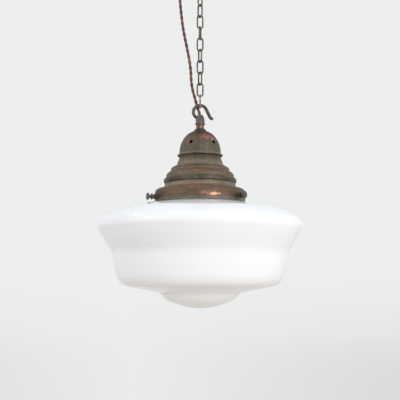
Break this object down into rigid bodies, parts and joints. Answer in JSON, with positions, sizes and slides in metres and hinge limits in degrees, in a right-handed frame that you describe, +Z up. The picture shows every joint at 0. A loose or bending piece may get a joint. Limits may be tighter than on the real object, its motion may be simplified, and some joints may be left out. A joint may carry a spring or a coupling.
{
  "type": "pendant light",
  "caption": "Pendant light: a stepped bronze gallery and vented dome hold a white opal glass shade, hung by a hooked crook on a chain from a ceiling rose, with a braided flex beside it.",
  "frame": {"origin": "middle of the ceiling plate's upper face, on the ceiling", "axes": "+Z up, so the lamp hangs down -Z; +X to the right and +Y away from a viewer who faces the lamp, the flex hanging on the viewer's left"},
  "size_m": [0.2494, 0.2494, 0.4692],
  "materials": {
    "steel": "zinc plated",
    "aged_bronze": "aged copper bronze, semi-matte",
    "dark_bronze": "darkened bronze",
    "chain_bronze": "aged bronze",
    "rubber": "matte",
    "porcelain": "glazed",
    "bright_brass": "turned brass",
    "brown_braid": "braided cotton over rubber",
    "opal_glass": "glossy opal white",
    "bulb_glass": "frosted",
    "bulb_metal": "satin",
    "black_plastic": "gloss"
  },
  "bodies": {
    "ceiling": {"ceiling_plate": "steel", "ceiling_hook": "dark_bronze", "rose_cover": "aged_bronze", "cover_nut": "aged_bronze", "cord_gland": "rubber", "terminal_block": "porcelain", "terminal_screw_1": "bright_brass", "terminal_screw_2": "bright_brass", "flex_in_rose": "brown_braid"},
    "top_link": {"chain_link_01": "chain_bronze"},
    "chain": {"chain_link_02": "chain_bronze", "chain_link_03": "chain_bronze", "chain_link_04": "chain_bronze", "chain_link_05": "chain_bronze", "chain_link_06": "chain_bronze", "chain_link_07": "chain_bronze", "chain_link_08": "chain_bronze", "chain_link_09": "chain_bronze", "chain_link_10": "chain_bronze", "chain_link_11": "chain_bronze", "flex_upper": "brown_braid"},
    "bottom_link": {"chain_link_12": "chain_bronze"},
    "lamp": {"neck_sleeve": "aged_bronze", "dome_collar": "aged_bronze", "dome": "aged_bronze", "gallery": "aged_bronze", "screw_boss_1": "aged_bronze", "screw_boss_2": "aged_bronze", "screw_boss_3": "aged_bronze", "crook": "dark_bronze", "holder_insulator": "porcelain", "nipple": "bright_brass", "lock_nut_1": "bright_brass", "lock_nut_2": "bright_brass", "holder_cap": "bright_brass", "holder_body": "bright_brass", "holder_ring": "bright_brass", "contact_barrel_1": "bright_brass", "contact_barrel_2": "bright_brass", "contact_plunger_1": "bright_brass", "contact_plunger_2": "bright_brass", "flex_lower": "brown_braid", "flex_in_lamp": "brown_braid", "shade": "opal_glass", "bulb_glass": "bulb_glass", "bulb_stem": "bulb_glass", "bulb_cap": "bulb_metal", "bulb_contact_1": "bulb_metal", "bulb_contact_2": "bulb_metal", "bulb_base": "black_plastic"},
    "thumb_screw_1": {"thumb_screw_1": "dark_bronze"},
    "thumb_screw_2": {"thumb_screw_2": "dark_bronze"},
    "thumb_screw_3": {"thumb_screw_3": "dark_bronze"}
  },
  "joints": [
    {"name": "hook_swing", "type": "hinge", "parent": "ceiling", "child": "top_link", "pos_m": [0, 0, -0.05025], "axis": [1, 0, 0], "range_deg": [-20, 20], "deforming": ["flex_upper"]},
    {"name": "chain_swing", "type": "hinge", "parent": "top_link", "child": "chain", "pos_m": [0, 0, -0.0639], "axis": [0, 1, 0], "range_deg": [-20, 20], "deforming": ["flex_upper"]},
    {"name": "lower_link_swing", "type": "hinge", "parent": "chain", "child": "bottom_link", "pos_m": [0, 0, -0.2084], "axis": [1, 0, 0], "range_deg": [-20, 20], "deforming": ["flex_lower"]},
    {"name": "lamp_swing", "type": "hinge", "parent": "bottom_link", "child": "lamp", "pos_m": [0, 0, -0.22285], "axis": [0, 1, 0], "range_deg": [-20, 20], "deforming": ["flex_lower"]},
    {"name": "thumb_screw_1_out", "type": "slide", "parent": "lamp", "child": "thumb_screw_1", "axis": [0.7771, -0.6293, 0], "range_m": [0, 0.004]},
    {"name": "thumb_screw_2_out", "type": "slide", "parent": "lamp", "child": "thumb_screw_2", "axis": [-0.9336, -0.3584, 0], "range_m": [0, 0.004]},
    {"name": "thumb_screw_3_out", "type": "slide", "parent": "lamp", "child": "thumb_screw_3", "axis": [0.1564, 0.9877, 0], "range_m": [0, 0.004]}
  ]
}
